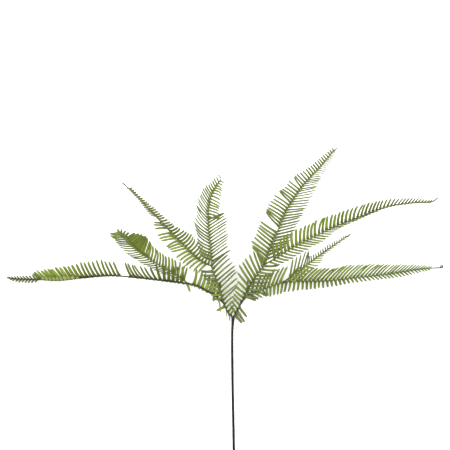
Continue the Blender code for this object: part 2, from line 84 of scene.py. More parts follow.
# For each branch: its rib's route, what it forks from and on which side, the spacing of its
# leaflets, and for each row of them (place along the rib, angle to the rib, reach seen from above,
# rise of the tip, bow). There are no leaflets on its bare stretches, and none on the left on bareLeft.
branches = {
    "pinna_left_upright": {
        "route": [
            (0, 0, 2.4), (-7, 8, 5), (-13, 21, 11), (-18, 39, 20), (-24, 56, 29), (-30, 73, 38),
            (-30, 84, 44), (-32, 104, 55), (-34, 124, 66), (-35, 144, 76), (-33, 162, 84),
            (-28, 176, 89), (-20, 189, 93), (-16.5, 194, 94), (-19, 198, 93),
        ],
        "parent": (None, left),
        "pitch": [(0, 6), (0.4, 5.6), (0.45, 4.4), (0.7, 4.4), (1, 3.6)],
        "left": [
            (0, 150, 8, 0, 0), (0.05, 158, 13, -1, 0), (0.085, 165, 16, -2, 0), (0.1, 80, 13, -2, 1),
            (0.4, 66, 17, -3, 1), (0.46, 56, 20, -6, 1.5),
            (0.55, 45, 26, -4, 1.5), (0.61, 44, 28, -2, 1.5), (0.64, 37, 27, 0, 1), (0.7, 38, 26, 3, 0.5),
            (0.76, 41, 23, 4, 0),
            (0.82, 49, 19, 4, 0), (0.88, 58, 12, 4, 1), (0.94, 60, 9, 3, 0.5), (1, 40, 5, 2, 0),
        ],
        "right": [
            (0, 75, 10, 8, 0), (0.12, 66, 18, 8, -0.5), (0.15, 62, 30, 8, 0), (0.22, 64, 34, 8, 0),
            (0.28, 69, 34, 8, 0), (0.34, 67, 31, 8, -0.5), (0.4, 52, 32, 8, 0), (0.46, 57, 29, 8, 0),
            (0.52, 62, 30, 8, 0),
            (0.6, 60, 31, 9, 0), (0.685, 60, 27, 8, 0.5), (0.705, 97, 18, 18, 1), (0.76, 90, 16, 17, 1.5),
            (0.82, 92, 17, 16, 2), (0.88, 76, 13, 13, -1), (0.94, 80, 7, 9, -0.5), (1, 40, 4, 3, 0),
        ],
        "bare": [(0.965, 1)],
    },
    "pinna_left_low": {
        "route": [
            (-13, 21, 11), (-20, 27.5, 13), (-28, 33.5, 15), (-49, 44.5, 19), (-63, 48.5, 21),
            (-91, 52, 23), (-130, 56.5, 22), (-168, 59.5, 18), (-200, 57.5, 14), (-242, 53, 9),
            (-267, 54, 7), (-298, 54.6, 4.5), (-317, 56.6, 3),
        ],
        "parent": ("pinna_left_upright", left),
        "pitch": [(0, 6), (0.5, 5.7), (0.8, 5.2), (1, 3.8)],
        "left": [
            (0, 150, 27, -2, 1), (0.04, 140, 20, 3, 1.5), (0.065, 95, 1.5, 13, 0), (0.175, 92, 1, 14, 0),
            (0.19, 129, 14, 5, 0), (0.205, 92, 1, 15, 0), (0.28, 90, 0.5, 19, 0), (0.66, 95, 0.5, 18, 0),
            (0.7, 116, -7, 18, 0), (0.83, 118, -5.5, 13, 0), (0.86, 50, 4, 6, 0), (0.88, 56, 6, 4, 0),
            (0.94, 54, 5.5, 3, 0), (1, 30, 3, 1, 0),
        ],
        "right": [
            (0, 60, 20, 8, 1), (0.12, 80, 22, 10, 1), (0.2, 90, 23, 14, 1), (0.28, 84, 22, 16, 0),
            (0.34, 52, 20, 17, -1), (0.4, 56, 23, 17, -2), (0.46, 66, 22, 17, -1), (0.52, 64, 22, 17, 0),
            (0.55, 73, 24.5, 17, -1), (0.64, 72, 23, 15, -1), (0.7, 66, 22, 13, -0.5), (0.76, 56, 21, 11, 0),
            (0.82, 42, 19, 9, 0), (0.85, 42, 14, 7, 0), (0.87, 50, 8, 5, 0), (0.94, 44, 6, 3, 0),
            (1, 16, 4, 1, 0),
        ],
        "bare": [(0.452, 0.492), (0.985, 1)],
    },
    "pinna_left_curled": {
        "route": [
            (-63, 48.5, 21), (-73.5, 57, 28), (-85, 64.5, 36), (-104, 75, 47), (-122, 87, 58),
            (-135, 97, 65), (-146, 110, 70), (-153, 118.5, 71), (-159.5, 121, 68), (-163.5, 115, 61),
        ],
        "parent": ("pinna_left_low", right),
        "pitch": [(0, 5.2), (0.5, 4.6), (0.62, 3.9), (1, 3.7)],
        "left": [
            (0, 32, 8, 4, 0), (0.2, 34, 13, 5, 0.5), (0.46, 38, 17, 5, 1), (0.58, 36, 19, 5, 1.5),
            (0.7, 43, 21, 2, 1), (0.82, 46, 23, 3, 0.5), (0.86, 46, 21, 4.5, 0), (0.88, 43, 19, 5.5, 0),
            (0.9, 37, 16, 6.5, 0), (0.92, 27, 12, 7, 0), (0.935, 20, 9, 6, 0), (0.95, 30, 5, 0, 0),
            (1, 40, 5, -3, 0),
        ],
        "right": [
            (0, 64, 19, 10, 0.5), (0.1, 74, 19, 11, -1), (0.16, 60, 20, 11, 1), (0.28, 66, 18, 11, 0.5),
            (0.4, 62, 20, 11, 1.5), (0.46, 64, 20, 11, 1.5), (0.52, 68, 22, 11, 0.5),
            (0.58, 77, 23, 11, 0), (0.64, 83, 23, 12, -0.5), (0.7, 92, 23, 13, -1),
            (0.76, 96, 21, 13, -1), (0.81, 100, 17, 12, -0.5),
            (0.85, 84, 7, 8, 0), (0.92, 66, 4, 4, 0), (1, 40, 3, 1, 0),
        ],
        "bare": [(0.975, 1)],
    },
    "pinna_left_slanting": {
        "route": [
            (-30, 73, 38), (-44, 80.5, 45), (-62, 96, 52), (-78, 111, 54), (-96, 130, 50),
            (-115, 150, 39), (-140, 176, 17), (-155, 189.5, 0.4),
        ],
        "parent": ("pinna_left_upright", left),
        "pitch": [(0, 5.2), (0.5, 4.8), (0.6, 4), (1, 3.6)],
        "left": [
            (0, 72, 16, 4, -1), (0.16, 77, 20, 4, -1), (0.25, 70, 20, 5, -0.5), (0.3, 62, 20, 5, 0),
            (0.34, 71, 19, 6, -1), (0.4, 57, 21, 6, -0.5), (0.46, 58, 17, 8, -1), (0.52, 38, 14, 9, 0),
            (0.56, 38, 8, 9, 0), (0.62, 28, 7, 8, 0), (0.7, 34, 6, 7, 0), (0.78, 22, 4, 5, 0),
            (1, 20, 3, 1, 0),
        ],
        "right": [
            (0, 80, 14, 12, 0.5), (0.16, 88, 16, 12, 1), (0.28, 88, 19, 12, 2), (0.34, 97, 18, 13, 1.5),
            (0.4, 103, 15, 13, 1), (0.46, 114, 11, 14, 0.5), (0.52, 121, 11, 14, 0.5),
            (0.64, 123, 8.5, 11, 0), (0.7, 126, 7.5, 10, 0), (0.78, 130, 6, 7, 0), (0.85, 130, 4, 4, 0),
            (1, 60, 2, 1, 0),
        ],
        "bare": [(0.93, 1)],
        "bareLeft": [(0.435, 0.48), (0.54, 0.61)],
    },
    "pinna_right_upright": {
        "route": [
            (0, 0, 2.4), (5, 9.5, 6), (12, 22, 12), (20, 39, 21), (33.5, 61, 33), (45, 76, 42),
            (50, 94, 51), (58, 113, 60), (71, 145, 74), (81, 162, 82), (99, 188, 92), (119, 209, 98),
            (137, 231, 102), (143.5, 236, 102),
        ],
        "parent": (None, right),
        "pitch": [(0, 6), (0.35, 5.4), (0.5, 4.7), (1, 3.6)],
        "left": [
            (0, 60, 10, 4, 0), (0.12, 75, 17, 6, 0), (0.165, 75, 20, 7, 0), (0.185, 66, 33, 8, 0),
            (0.3, 60, 29, 8, 0),
            (0.35, 66, 28.5, 9, -0.5), (0.4, 74, 29, 9, 0), (0.46, 78, 29, 9, 0), (0.52, 75, 28.5, 9, 0),
            (0.58, 86, 26.5, 9, -1), (0.64, 91, 25.5, 9, -1), (0.7, 90, 21, 8, -0.5), (0.76, 86, 18, 7, 0),
            (0.82, 86, 12.5, 6, -0.5), (0.88, 80, 10, 5, -0.5), (0.94, 80, 6.5, 3, 0), (1, 50, 4, 1, 0),
        ],
        "right": [
            (0, 112, 12, 1, 0), (0.05, 121, 20, -3, 0), (0.09, 100, 15, -3, 0), (0.14, 62, 21, -3, 1),
            (0.3, 52, 22, -5, 1), (0.4, 53, 26, -5, 0), (0.52, 56, 29, -5, 0), (0.58, 57, 28, -3, 0),
            (0.64, 51, 28, -2, 0), (0.7, 45, 26, 0, 0), (0.76, 42, 22, 2, 0), (0.82, 35, 18, 2, 0),
            (0.88, 30, 13, 2, 0), (0.94, 27, 9, 2, 0), (1, 20, 4, 1, 0),
        ],
        "bare": [(0.98, 1)],
        "bareLeft": [(0.483, 0.507)],
    },
    "pinna_right_arched": {
        "route": [
            (45, 76, 42), (58, 83.5, 48), (81, 98, 57), (112, 114, 62), (140, 127.5, 60),
            (165, 137.5, 53), (194, 148.5, 41), (217, 156.5, 29), (253, 161.5, 11), (277, 162.5, 2),
            (286.5, 168, 0.5),
        ],
        "parent": ("pinna_right_upright", right),
        "pitch": [(0, 5.8), (0.6, 5.8), (0.8, 5.0), (1, 3.8)],
        "left": [
            (0, 72, 16, 12, 1), (0.1, 60, 20, 12, 1), (0.16, 66, 22, 13, 1.5), (0.22, 58, 23, 13, 1),
            (0.28, 54, 23, 13, 2), (0.34, 60, 21.5, 14, 1.5), (0.4, 54, 19, 15, 1),
            (0.46, 58, 18.5, 15, 1.5), (0.52, 50, 20, 14, 1.5), (0.58, 47, 18.5, 13, 1),
            (0.64, 45, 15, 12, 1), (0.7, 46, 12.5, 10, 1), (0.76, 43, 11, 8, 0.5), (0.82, 42, 9.5, 5, 0.5),
            (0.88, 42, 7.5, 4, 0), (0.92, 40, 5.5, 2, 0), (1, 35, 3, 1, 0),
        ],
        "right": [
            (0, 44, 14, 5, 0.5), (0.1, 44, 18, 6, 1), (0.16, 40, 19, 6, 0.5), (0.22, 35, 19, 7, 0),
            (0.28, 33, 19, 7, 0.5), (0.34, 29, 15, 8, 0), (0.4, 23, 12, 9, 0), (0.46, 19, 10, 10, 0),
            (0.56, 16, 7, 10, 0), (0.66, 14, 4, 9, 0), (0.8, 15, 3, 6, 0), (1, 15, 2.5, 1, 0),
        ],
        "bare": [(0.955, 1)],
    },
    "pinna_right_low": {
        "route": [
            (12, 22, 12), (24, 34, 16), (47, 42.5, 19), (71, 50.5, 21), (91, 52, 21), (130, 52.5, 20),
            (169, 56.5, 17), (214, 61.5, 13), (258, 68, 8), (279, 70, 5), (292, 70.5, 3),
        ],
        "parent": ("pinna_right_upright", right),
        "pitch": [(0, 6), (0.5, 5.6), (0.8, 5.2), (1, 4)],
        "left": [
            (0, 55, 20, 6, 1), (0.15, 46, 27, 10, 1), (0.3, 43, 26, 11, 1), (0.4, 41, 26, 12, 1.5),
            (0.46, 38, 29, 13, 1.5), (0.52, 37, 29, 13, 1.5), (0.58, 36, 28, 13, 1.5),
            (0.64, 36, 25, 13, 1.5), (0.7, 34, 22.5, 12, 1), (0.76, 32, 19, 11, 0.5), (0.82, 31, 15, 8, 0),
            (0.88, 29, 10.5, 6, 0), (0.94, 26, 6, 3, 0), (1, 15, 3, 2, 0),
        ],
        "right": [
            (0, 75, 8, 2, 0), (0.04, 68, 14, 4, 0), (0.1, 48, 15, 5, 0), (0.13, 80, 9, 7, 0),
            (0.15, 112, 13, 7, 0), (0.22, 117, 16, 8, -0.5), (0.28, 105, 14, 11, -1), (0.34, 92, 12, 13, 0),
            (0.4, 95, 10, 14, 0.5), (0.46, 86, 8, 15, 0.5), (0.52, 78, 7, 15, 0), (0.58, 62, 7, 13, 0),
            (0.64, 46, 7.5, 12, 0), (0.7, 44, 8.5, 10, 0), (0.76, 48, 8.5, 9, 0), (0.82, 48, 8, 8, 0),
            (0.88, 44, 6, 5, 0), (1, 30, 3, 2, 0),
        ],
        "bare": [(0.945, 1)],
    },
    "pinna_right_short": {
        "route": [
            (71, 50.5, 21), (78.5, 57, 27), (86, 63, 34), (92, 67.5, 40), (105, 77, 50), (121, 89, 61),
            (139, 102, 73), (156, 114, 84), (161, 116.5, 86),
        ],
        "parent": ("pinna_right_low", left),
        "pitch": [(0, 6.4), (0.3, 5.6), (0.36, 4.2), (1, 3.4)],
        "left": [
            (0, 40, 20, 6, 0.5), (0.1, 39, 25, 7, 0), (0.2, 37, 26, 8, 0), (0.29, 35, 26, 9, 0),
            (0.345, 38, 22, 10, 0), (0.38, 50, 10, 13, 0), (0.44, 58, 7, 14, 0), (0.52, 64, 5.5, 14, 0),
            (0.64, 64, 5.5, 12, 0), (0.76, 60, 5, 10, 0), (0.84, 50, 4.5, 8, 0), (1, 40, 3, 2, 0),
        ],
        "right": [
            (0, 65, 10, 0, 0.5), (0.15, 67, 13, -2, 0.5), (0.28, 60, 13, 0, 0.5), (0.34, 50, 14, 2, 0.5),
            (0.4, 40, 15, 3, 0.5), (0.46, 35, 14, 4, 0), (0.51, 32, 8, 7, 0), (0.58, 34, 5, 8, 0),
            (0.8, 34, 4.5, 5, 0), (1, 30, 3, 2, 0),
        ],
        "bare": [(0.97, 1)],
    },
}

# What only the looks need, for the left and the right row: how pale they are, how far their tips
# hook towards the branch's end, and how wide their blades are against the rule (place, left, right).
# Clumps are stretches where leaflets cling together (from, to, side, how strongly), and the coil is
# the curled end of the rib (turns, radius). Ages are those of the rib's foot and tip: it is brown at
# age 0, green from 0.35 and dark at 1. A rib with ribStout is that much thicker than the rule.
usualRib = {"coil": (0, 0), "ages": (0.16, 1), "ribStout": 1}
branchLooks = {
    "pinna_left_upright": {
        "tone": [(0, 0.35, 0.25), (0.4, 0.15, 0.15), (0.65, 0.1, 0.2), (0.9, 0.3, 0.35), (1, 0.5, 0.5)],
        "hook": [(0, 0.5, -0.8), (0.55, 1.0, -1.2), (0.65, 2.5, -1.2), (0.75, 1.5, -5), (0.9, 0.6, -4),
                 (1, 0, -1)],
        "wide": [(0, 0.9, 0.7), (0.3, 0.95, 0.7), (0.4, 1, 0.85), (0.55, 1.15, 0.9), (0.9, 1.15, 0.95),
                 (1, 0.9, 0.9)],
        "clumps": [(0.13, 0.19, right, 0.5), (0.71, 0.745, right, 0.7), (0.34, 0.38, right, 0.4)],
        "coil": (0.5, 1.3),
        "ages": (0, 1),
    },
    "pinna_left_low": {
        "tone": [(0, 0.4, 0.3), (0.1, 0.4, 0.7), (0.2, 0.4, 0.5), (0.3, 0.3, 0.35), (0.62, 0.3, 0.25),
                 (0.68, 0.9, 0.6), (0.83, 1.0, 0.6), (0.87, -0.1, -0.1), (1, -0.3, -0.3)],
        "hook": [(0, 0.2, 0.6), (1, 0.2, 0.8)],
        "wide": [(0, 0.95, 1), (0.64, 0.95, 0.95), (0.68, 1.05, 1.45), (0.72, 1.9, 1.5), (0.84, 1.8, 1.45),
                 (0.87, 1, 1), (1, 1.1, 1.1)],
        "clumps": [(0.38, 0.415, right, 0.6), (0.62, 0.65, right, 0.45)],
        "ages": (0, 0.1),
        "ribStout": 1.25,
    },
    "pinna_left_curled": {
        "tone": [(0, 0.3, 0.4), (0.4, 0, 0.4), (0.6, 0, 0.4), (0.75, 0.1, 0.35), (1, 0.3, 0.2)],
        "hook": [(0, -0.4, 1.2), (0.6, -0.6, 1.0), (0.8, 1.5, 1.0), (1, 1.5, 1.0)],
        "wide": [(0, 0.95, 0.95), (0.4, 1.1, 1), (0.6, 1.2, 1.35), (0.83, 1.4, 1.45), (0.9, 1.7, 1.1),
                 (1, 1.3, 1.1)],
        "clumps": [(0.34, 0.37, right, 0.4)],
        "coil": (0.4, 1.2),
    },
    "pinna_left_slanting": {
        "tone": [(0, 0.4, 0.35), (0.22, 0.45, 0.2), (0.42, 0.45, 0.1), (0.5, 0.2, 0.05), (1, 0, 0)],
        "hook": [(0, -0.6, 1.8), (0.5, -0.6, 2.2), (0.55, -1.5, 1.4), (0.72, -1.0, 0.8), (1, 0, 0)],
        "wide": [(0, 0.95, 0.8), (0.23, 1.05, 0.9), (0.42, 1.2, 1.02), (0.6, 1.3, 1.25), (1, 1.25, 1.35)],
        "clumps": [(0.25, 0.32, left, 0.45), (0.36, 0.42, left, 0.45)],
    },
    "pinna_right_upright": {
        "tone": [(0, 0.45, 0.2), (0.3, 0.3, 0.1), (0.6, 0.25, 0.05), (1, 0.15, 0.1)],
        "hook": [(0, 1.0, 0.4), (1, 1.0, 0.4)],
        "wide": [(0, 0.75, 1), (0.15, 0.8, 1), (0.2, 0.97, 0.97), (0.6, 0.98, 0.95), (0.8, 1, 1),
                 (1, 1, 1.2)],
        "clumps": [(0.51, 0.57, left, 0.55), (0.64, 0.685, left, 0.5), (0.735, 0.775, left, 0.5)],
        "ages": (0, 1),
    },
    "pinna_right_arched": {
        "tone": [(0, 0.4, 0.3), (0.35, 0.5, 0.25), (0.7, 0.2, 0.2), (1, 0, 0)],
        "hook": [(0, -0.8, 0.4), (1, -0.8, 0.4)],
        "wide": [(0, 1, 1), (0.3, 1.1, 1.2), (0.6, 1.1, 1.4), (0.8, 0.95, 1.2), (1, 0.95, 1)],
        "clumps": [(0.325, 0.37, left, 0.5), (0.46, 0.495, left, 0.5), (0.535, 0.57, left, 0.5)],
    },
    "pinna_right_low": {
        "tone": [(0, 0.45, 0.3), (0.3, 0.6, 0.2), (0.7, 0.5, 0.25), (1, 0.2, 0.2)],
        "hook": [(0, -0.8, 0.2), (1, -0.8, 0.2)],
        "wide": [(0, 1, 0.9), (0.3, 1.15, 0.9), (0.8, 1.15, 0.95), (1, 1.1, 1)],
        "clumps": [(0.2, 0.235, left, 0.5), (0.62, 0.65, left, 0.4)],
        "coil": (1.4, 1.9),
        "ages": (0.12, 1),
    },
    "pinna_right_short": {
        "tone": [(0, 0.4, 0.35), (0.4, 0.3, 0.5), (1, 0.2, 0.3)],
        "hook": [(0, -0.6, 0.2), (1, -0.6, 0.2)],
        "wide": [(0, 1, 1), (0.4, 0.9, 1.1), (1, 0.8, 1)],
        "clumps": [(0.2, 0.28, right, 0.3)],
        "coil": (1.0, 0.7),
    },
}


def smoothRoute(points, steps=14):
    knots = np.array(points, float)
    knots = np.vstack([2 * knots[0] - knots[1], knots, 2 * knots[-1] - knots[-2]])
    made = []
    for a, b, c, d in zip(knots, knots[1:], knots[2:], knots[3:]):
        for t in np.arange(steps) / steps:
            made.append(
                b + 0.5 * t * (c - a)
                + t * t * (a - 2.5 * b + 2 * c - 0.5 * d)
                + 0.5 * t ** 3 * (3 * (b - c) + d - a)
            )
    return np.array(made + [knots[-2]])


class Rib:  # the middle line of a branch, read by its distance from the fork as seen from above
    def __init__(self, route):
        self.points = smoothRoute(route)
        steps = np.linalg.norm(np.diff(self.points[:, :2], axis=0), axis=1)
        self.along = np.concatenate([[0], np.cumsum(steps)])
        self.length = self.along[-1]

    def point(self, s):
        return np.array([np.interp(s, self.along, self.points[:, k]) for k in range(3)])

    def tangent(self, s):
        ahead = self.point(min(s + 1, self.length)) - self.point(max(s - 1, 0))
        return ahead / np.linalg.norm(ahead)

    def leftward(self, s):
        x, y, _ = self.tangent(s)
        return np.array([-y, x, 0]) / math.hypot(x, y)

    def halfWidth(self, s):
        thin, thick = leafletRule["tipHalfWidth"], leafletRule["ribHalfWidth"]
        return thick + (thin - thick) * s / self.length

    def nearest(self, point):
        gaps = np.linalg.norm(self.points[:, :2] - np.array(point)[:2], axis=1)
        return self.along[gaps.argmin()]


def keyed(keys, t):
    keys = np.array(keys, float)
    return [np.interp(t, keys[:, 0], column) for column in keys[:, 1:].T]


def unit(vector):
    return vector / max(np.linalg.norm(vector), 1e-9)


def turned(direction, degrees):
    angle = math.radians(degrees)
    x, y = unit(direction[:2])
    return np.array([x * math.cos(angle) - y * math.sin(angle), x * math.sin(angle) + y * math.cos(angle), 0])


def stationsOf(branch, rib, first):
    places = [first]
    while True:
        pitch = keyed(branch["pitch"], places[-1] / rib.length)[0]
        if places[-1] + pitch / 2 > rib.length - 1:
            return places
        places.append(places[-1] + pitch / 2)


def leafletLine(root, middle, tip):
    sample = leafletRule["sample"]
    first = max(2, math.ceil(np.linalg.norm(middle - root) / sample))
    second = max(2, math.ceil(np.linalg.norm(tip - middle) / sample))
    return np.vstack([np.linspace(root, middle, first + 1)[:-1], np.linspace(middle, tip, second + 1)])


def isClear(line, others):
    gaps = (line[:, None] - others[None]) * np.array([1, 1, leafletRule["heightWeight"]])
    return (np.sum(gaps * gaps, axis=2) > leafletRule["clearance"] ** 2).all()


def obstacles(name, side, ribs, taken):
    points = list(taken)
    for key, rib in ribs.items():
        if key != name:
            parent, forkSide = branches[key]["parent"]
            skipped = leafletRule["forkShadow"] if parent == name and forkSide != side else 0
            points.append(rib.points[rib.along >= skipped])
    return np.vstack(points)


def leafletShape(branch, rib, start, end, side, jitter, lift, share):
    at = (start + end) / 2
    angle, reach, rise, bow = keyed(branch["left" if side == left else "right"], at / rib.length)
    root = rib.point(at) + side * rib.leftward(at) * rib.halfWidth(at)
    outward = turned(rib.tangent(at), side * (angle + jitter[0]))
    reach *= share * jitter[1]
    tip = root + outward * reach + np.array([0, 0, rise * share + lift])
    bow *= min(1, abs(reach) / leafletRule["fullBow"])
    middle = root + 0.5 * (tip - root) + side * bow * turned(outward, 90)
    middle[2] += leafletRule["arch"] * abs(reach)
    return root, middle, tip


def forkStart(rib, parent, parentRib, side):
    ahead = rib.tangent(0)
    across = rib.leftward(0) * rib.halfWidth(0)
    if parent is None:
        away, clear = ahead, leafletRule["budRadius"] + leafletRule["forkGap"]
    else:
        at = parentRib.nearest(rib.point(0))
        away = side * parentRib.leftward(at)
        clear = parentRib.halfWidth(at) + leafletRule["forkGap"]
    return max((clear - corner @ away) / (ahead @ away) for corner in (across, -across))


def planLeaflets(branch, rib, first, others, draw):
    places = stationsOf(branch, rib, first)
    planned = []
    for index, (start, end) in enumerate(zip(places, places[1:])):
        side = left if index % 2 else right
        turn = leafletRule["turnJitter"]
        jitter = (draw.uniform(-turn, turn), draw.uniform(*leafletRule["reachJitter"]))
        t = (start + end) / 2 / rib.length
        bare = branch["bare"] + (branch.get("bareLeft", []) if side == left else [])
        if any(low <= t <= high for low, high in bare):
            continue
        for lift, share in leafletRule["tries"]:
            root, middle, tip = leafletShape(branch, rib, start, end, side, jitter, lift, share)
            high = min(tip[2], middle[2]) > leafletRule["lowest"]
            if high and isClear(leafletLine(root, middle, tip), others[side]):
                planned.append({"at": (start + end) / 2, "t": t, "side": side, "pitch": 2 * (end - start),
                                "root": root, "middle": middle, "tip": tip})
                break
    return planned


# Node trees are written as expressions: this wraps a socket and adds nodes as it is used.
class Wire:
    def __init__(self, tree, socket=None):
        self.tree = tree
        self.socket = socket

    def make(self, kind, settings=None, sockets=None, out=None):
        node = self.tree.nodes.new(kind)
        for key, value in (settings or {}).items():
            if key == "stops":
                ramp = node.color_ramp
                for index, (place, colour) in enumerate(value):
                    stop = ramp.elements[index] if index < 2 else ramp.elements.new(place)
                    stop.position = place
                    stop.color = colour
            else:
                setattr(node, key, value)
        for key, value in (sockets or {}).items():
            if isinstance(key, str):
                target = next(s for s in node.inputs if s.name == key and s.enabled)
            else:
                target = node.inputs[key]
            if isinstance(value, Wire):
                self.tree.links.new(value.socket, target)
            else:
                target.default_value = value
        found = [s for s in node.outputs if s.enabled]
        return Wire(self.tree, found[0] if out is None else node.outputs[out])

    def maths(self, operation, first, second=0.0):
        return self.make("ShaderNodeMath", {"operation": operation}, {0: first, 1: second})

    def __add__(self, other):
        return self.maths("ADD", self, other)

    def __sub__(self, other):
        return self.maths("SUBTRACT", self, other)

    def __rsub__(self, other):
        return self.maths("SUBTRACT", other, self)

    def __mul__(self, other):
        return self.maths("MULTIPLY", self, other)

    def __pow__(self, other):
        return self.maths("POWER", self, other)

    __radd__ = __add__
    __rmul__ = __mul__

    def plain(self, colour):
        node = self.make("ShaderNodeRGB")
        node.socket.default_value = colour
        return node

    def noise(self, scale, detail):
        return self.make("ShaderNodeTexNoise", None, {"Vector": self, "Scale": scale, "Detail": detail})

    def between(self, zeroAt, oneAt, **settings):
        return self.make("ShaderNodeMapRange", settings,
                         {"Value": self, "From Min": zeroAt, "From Max": oneAt})

    def moved(self, other):
        return self.make("ShaderNodeVectorMath", {"operation": "ADD"}, {0: self, 1: other})

    def scaled(self, factor):
        return self.make("ShaderNodeVectorMath", {"operation": "SCALE"}, {0: self, "Scale": factor})

    def blended(self, factor, other):
        return self.make("ShaderNodeMix", {"data_type": "RGBA"}, {0: factor, 6: self, 7: other}, out=2)


# One tree makes a whole branch: the tube of its rib from a chain of points, and a curved,
# veined blade on every loose point, shaped by what the points carry.
bladeSettings = {
    "Blade sides": 8,
    "Blade segments": 9,
    "Rib sides": 10,
    "Thickness": 0.34 * mm,
    "Vein depth": 0.16 * mm,
    "Edge curl": 0.30 * mm,
    "Root flare": 0.6,
    "Flare fall": 9.0,
    "Point": 8.0,
    "Weld": 0.01 * mm,
}


def combTree():
    tree = bpy.data.node_groups.new("combBranch", "GeometryNodeTree")
    face = tree.interface
    face.new_socket("Geometry", in_out="INPUT", socket_type="NodeSocketGeometry")
    face.new_socket("Material", in_out="INPUT", socket_type="NodeSocketMaterial")
    for name, value in bladeSettings.items():
        kind = "NodeSocketInt" if isinstance(value, int) else "NodeSocketFloat"
        face.new_socket(name, in_out="INPUT", socket_type=kind)
    face.new_socket("Geometry", in_out="OUTPUT", socket_type="NodeSocketGeometry")
    entry = tree.nodes.new("NodeGroupInput")
    given = {s.name: Wire(tree, s) for s in entry.outputs if s.name}
    w = Wire(tree)

    def attribute(name, kind="FLOAT"):
        return w.make("GeometryNodeInputNamedAttribute", {"data_type": kind}, {"Name": name})

    def stored(geometry, name, value, kind="FLOAT"):
        return w.make("GeometryNodeStoreNamedAttribute", {"data_type": kind, "domain": "POINT"},
                      {"Geometry": geometry, "Name": name, "Value": value})

    isBlade = w.maths("GREATER_THAN", attribute("blade"), 0.5)
    parted = w.make("GeometryNodeSeparateGeometry", {"domain": "POINT"},
                    {"Geometry": given["Geometry"], "Selection": isBlade}, out=0)
    chain = Wire(tree, parted.socket.node.outputs[1])

    # the rib: a round tube whose radius the chain carries
    curve = w.make("GeometryNodeMeshToCurve", None, {"Mesh": chain})
    ring = w.make("GeometryNodeCurvePrimitiveCircle", {"mode": "RADIUS"},
                  {"Resolution": given["Rib sides"], "Radius": 1.0})
    tube = w.make("GeometryNodeCurveToMesh", None,
                  {"Curve": curve, "Profile Curve": ring, "Scale": attribute("ribRadius"), "Fill Caps": True})
    tube = stored(tube, "ribness", 1.0)

    # the blades: unit cylinders, kept as (across, through, along), then drawn out to shape
    cylinder = w.make("GeometryNodeMeshCylinder", {"fill_type": "NGON"},
                      {"Vertices": given["Blade sides"], "Side Segments": given["Blade segments"],
                       "Radius": 1.0, "Depth": 1.0}, out=0)
    place = w.make("GeometryNodeInputPosition")
    parts = w.make("ShaderNodeSeparateXYZ", None, {0: place}, out=0)
    xyz = [Wire(tree, s) for s in parts.socket.node.outputs]
    cylinder = stored(cylinder, "across", xyz[0])
    cylinder = stored(cylinder, "through", xyz[1])
    cylinder = stored(cylinder, "along", xyz[2] + 0.5)
    kept = stored(parted, "rootAt", place, "FLOAT_VECTOR")
    blades = w.make("GeometryNodeInstanceOnPoints", None, {"Points": kept, "Instance": cylinder})
    blades = w.make("GeometryNodeRealizeInstances", None, {"Geometry": blades})

    u, n, v = attribute("across"), attribute("through"), attribute("along")
    rest = 1 - v
    bend = (attribute("rootAt", "FLOAT_VECTOR").scaled(rest * rest)
            .moved(attribute("bendAt", "FLOAT_VECTOR").scaled(v * rest * 2))
            .moved(attribute("tipAt", "FLOAT_VECTOR").scaled(v * v)))
    taper = w.maths("MAXIMUM", 1 - v ** given["Point"], 0.0) ** 0.5
    flare = 1 + (rest ** given["Flare fall"]) * given["Root flare"]
    halfWidth = attribute("halfWidth") * taper * flare
    hook = attribute("hook") * v ** 3
    sideways = attribute("sideways", "FLOAT_VECTOR").scaled(u * halfWidth + hook)
    middleness = w.maths("MAXIMUM", 1 - w.maths("ABSOLUTE", u) * 1.6, 0.0)
    thickness = given["Thickness"] * (1 - 0.75 * v) * taper
    height = (n * thickness
              - middleness * given["Vein depth"] * taper
              - u * u * given["Edge curl"] * taper)
    upward = attribute("upward", "FLOAT_VECTOR").scaled(height)
    blades = w.make("GeometryNodeSetPosition", None,
                    {"Geometry": blades, "Position": bend.moved(sideways).moved(upward)})
    blades = w.make("GeometryNodeMergeByDistance", None, {"Geometry": blades, "Distance": given["Weld"]})

    joined = w.make("GeometryNodeJoinGeometry", None, {"Geometry": tube})
    tree.links.new(blades.socket, joined.socket.node.inputs[0])
    # nothing reaches below the surface
    now = w.make("GeometryNodeInputPosition")
    low = w.make("ShaderNodeSeparateXYZ", None, {0: now}, out=2)
    raised = w.make("ShaderNodeCombineXYZ", None, {"Z": w.maths("MAXIMUM", 0.0 - low, 0.0)})
    joined = w.make("GeometryNodeSetPosition", None, {"Geometry": joined, "Offset": raised})
    joined = w.make("GeometryNodeSetShadeSmooth", None, {"Geometry": joined})
    joined = w.make("GeometryNodeRealizeInstances", None, {"Geometry": joined})
    joined = w.make("GeometryNodeSetMaterial", None, {"Geometry": joined, "Material": given["Material"]})
    leave = tree.nodes.new("NodeGroupOutput")
    tree.links.new(joined.socket, leave.inputs[0])
    return tree


def carried(mesh, name, values, kind="FLOAT"):
    data = mesh.attributes.new(name, kind, "POINT").data
    values = np.array(values, np.float32)
    data.foreach_set("value" if kind == "FLOAT" else "vector", values.ravel())


